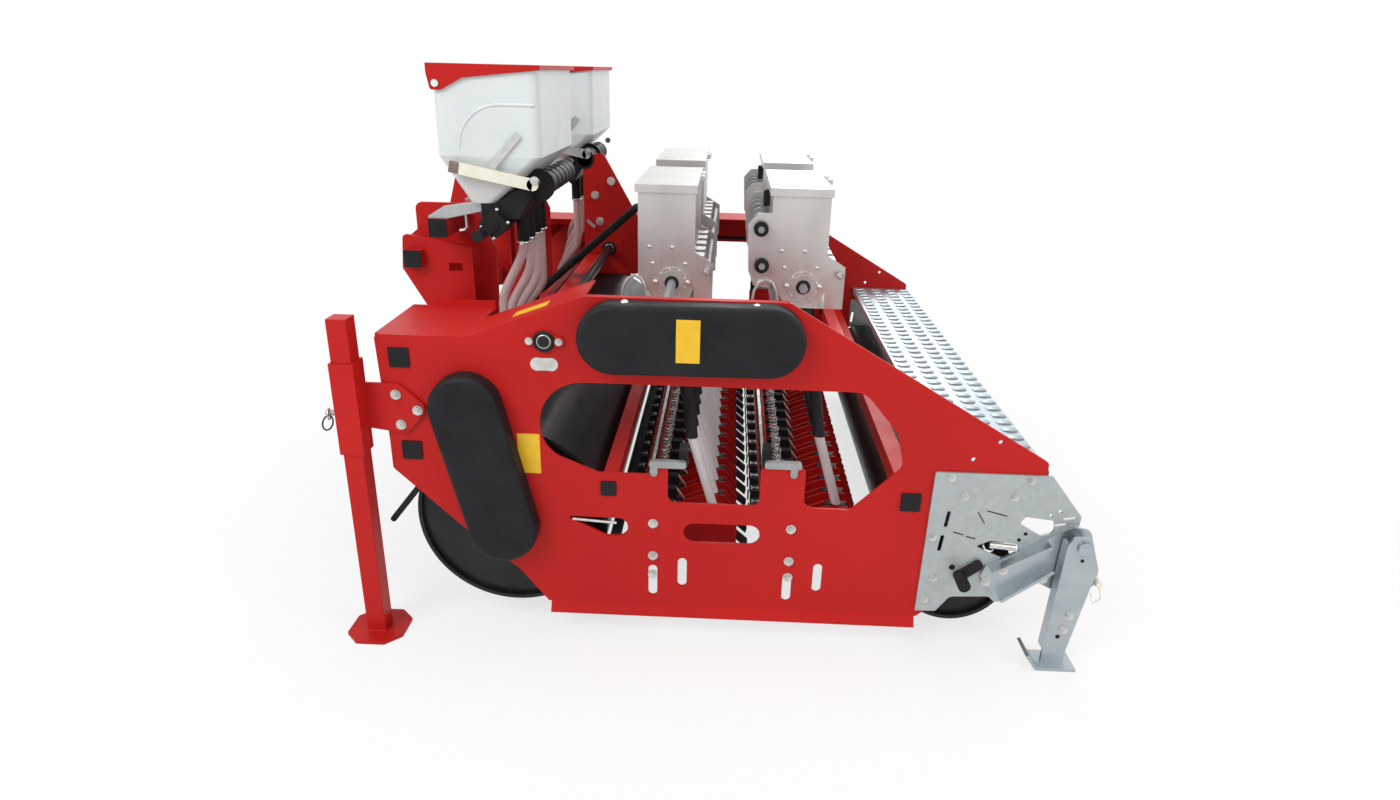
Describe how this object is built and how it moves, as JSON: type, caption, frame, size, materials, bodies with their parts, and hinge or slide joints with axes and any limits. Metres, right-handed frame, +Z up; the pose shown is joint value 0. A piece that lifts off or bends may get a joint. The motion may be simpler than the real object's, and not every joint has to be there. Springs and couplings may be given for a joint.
{
  "type": "mechanical seed drill",
  "caption": "Mounted seed drill with smooth front and rear rollers, coulter banks, aluminium seed hoppers, granule hoppers and parking stands.",
  "frame": {"origin": "on the floor below the middle of the machine", "axes": "+Z up, -X is the direction of travel, -Y is the machine's left-hand side"},
  "size_m": [1.973, 2.11, 1.444],
  "materials": {
    "red_paint": "gloss powder coat",
    "galvanised": "galvanised",
    "aluminium": "bare sheet",
    "black_steel": "satin black",
    "bright_steel": "zinc plated",
    "black_plastic": "moulded",
    "white_plastic": "translucent",
    "clear_hose": "clear",
    "black_rubber": "matt"
  },
  "bodies": {
    "frame": {"chain_guard_front": "black_plastic", "chain_guard_top": "black_plastic", "conduits": "black_rubber", "control_levers": "bright_steel", "coulter_arms": "red_paint", "coulter_beams": "red_paint", "coulter_boots": "black_plastic", "coulter_clamps": "black_plastic", "coulter_springs": "bright_steel", "coulter_teeth": "black_plastic", "cross_tubes": "red_paint", "drive_bearings": "bright_steel", "drive_plate": "red_paint", "drive_shaft": "bright_steel", "end_caps": "black_plastic", "foot_arms": "galvanised", "granule_brackets": "galvanised", "granule_hopper_left": "white_plastic", "granule_hopper_right": "white_plastic", "granule_hoses": "clear_hose", "granule_meter_left": "black_plastic", "granule_meter_right": "black_plastic", "handles": "black_plastic", "hitch_brackets": "red_paint", "hopper_rails": "red_paint", "lift_shafts": "bright_steel", "mast": "red_paint", "meter_shafts": "bright_steel", "rear_plate_left": "galvanised", "rear_plate_right": "galvanised", "roller_bearings": "bright_steel", "scraper_bar": "black_steel", "seed_hopper_front_left": "aluminium", "seed_hopper_front_right": "aluminium", "seed_hopper_rear_left": "aluminium", "seed_hopper_rear_right": "aluminium", "seed_tubes_lower": "white_plastic", "seed_tubes_upper": "black_rubber", "side_plate_left": "red_paint", "side_plate_right": "red_paint", "spreader_bar": "red_paint", "stand_sleeves": "red_paint", "step_board": "galvanised", "toolbars": "red_paint", "top_sheet_left": "red_paint", "top_sheet_right": "red_paint"},
    "front_roller": {"front_roller": "black_steel"},
    "rear_roller": {"rear_roller": "black_steel"},
    "stand_leg_left": {"stand_leg_left": "red_paint"},
    "stand_leg_right": {"stand_leg_right": "red_paint"},
    "folding_foot_left": {"folding_foot_left": "galvanised"},
    "folding_foot_right": {"folding_foot_right": "galvanised"},
    "granule_lid_left": {"granule_lid_left": "red_paint"},
    "granule_lid_right": {"granule_lid_right": "red_paint"},
    "seed_lid_front_left": {"seed_lid_front_left": "aluminium"},
    "seed_lid_front_right": {"seed_lid_front_right": "aluminium"},
    "seed_lid_rear_left": {"seed_lid_rear_left": "aluminium"},
    "seed_lid_rear_right": {"seed_lid_rear_right": "aluminium"}
  },
  "joints": [
    {"name": "front_roller_spin", "type": "hinge", "parent": "frame", "child": "front_roller", "pos_m": [-0.547, 0, 0.323], "axis": [0, 1, 0], "continuous": true},
    {"name": "rear_roller_spin", "type": "hinge", "parent": "frame", "child": "rear_roller", "pos_m": [0.633, 0, 0.212], "axis": [0, 1, 0], "continuous": true},
    {"name": "stand_slide_left", "type": "slide", "parent": "frame", "child": "stand_leg_left", "axis": [0, 0, 1], "range_m": [0, 0.3]},
    {"name": "folding_foot_swing_left", "type": "hinge", "parent": "frame", "child": "folding_foot_left", "pos_m": [0.918, -1, 0.35], "axis": [0, -1, 0], "range_deg": [0, 100]},
    {"name": "granule_lid_hinge_left", "type": "hinge", "parent": "frame", "child": "granule_lid_left", "pos_m": [-0.744, -0.425, 1.397], "axis": [0, -1, 0], "range_deg": [0, 95]},
    {"name": "seed_lid_hinge_front_left", "type": "hinge", "parent": "frame", "child": "seed_lid_front_left", "pos_m": [-0.082, -0.334, 1.153], "axis": [0, 1, 0], "range_deg": [0, 105]},
    {"name": "seed_lid_hinge_rear_left", "type": "hinge", "parent": "frame", "child": "seed_lid_rear_left", "pos_m": [0.284, -0.334, 1.153], "axis": [0, 1, 0], "range_deg": [0, 105]},
    {"name": "stand_slide_right", "type": "slide", "parent": "frame", "child": "stand_leg_right", "axis": [0, 0, 1], "range_m": [0, 0.3]},
    {"name": "folding_foot_swing_right", "type": "hinge", "parent": "frame", "child": "folding_foot_right", "pos_m": [0.918, 1, 0.35], "axis": [0, -1, 0], "range_deg": [0, 100]},
    {"name": "granule_lid_hinge_right", "type": "hinge", "parent": "frame", "child": "granule_lid_right", "pos_m": [-0.744, 0.425, 1.397], "axis": [0, -1, 0], "range_deg": [0, 95]},
    {"name": "seed_lid_hinge_front_right", "type": "hinge", "parent": "frame", "child": "seed_lid_front_right", "pos_m": [-0.082, 0.334, 1.153], "axis": [0, 1, 0], "range_deg": [0, 105]},
    {"name": "seed_lid_hinge_rear_right", "type": "hinge", "parent": "frame", "child": "seed_lid_rear_right", "pos_m": [0.284, 0.334, 1.153], "axis": [0, 1, 0], "range_deg": [0, 105]}
  ]
}
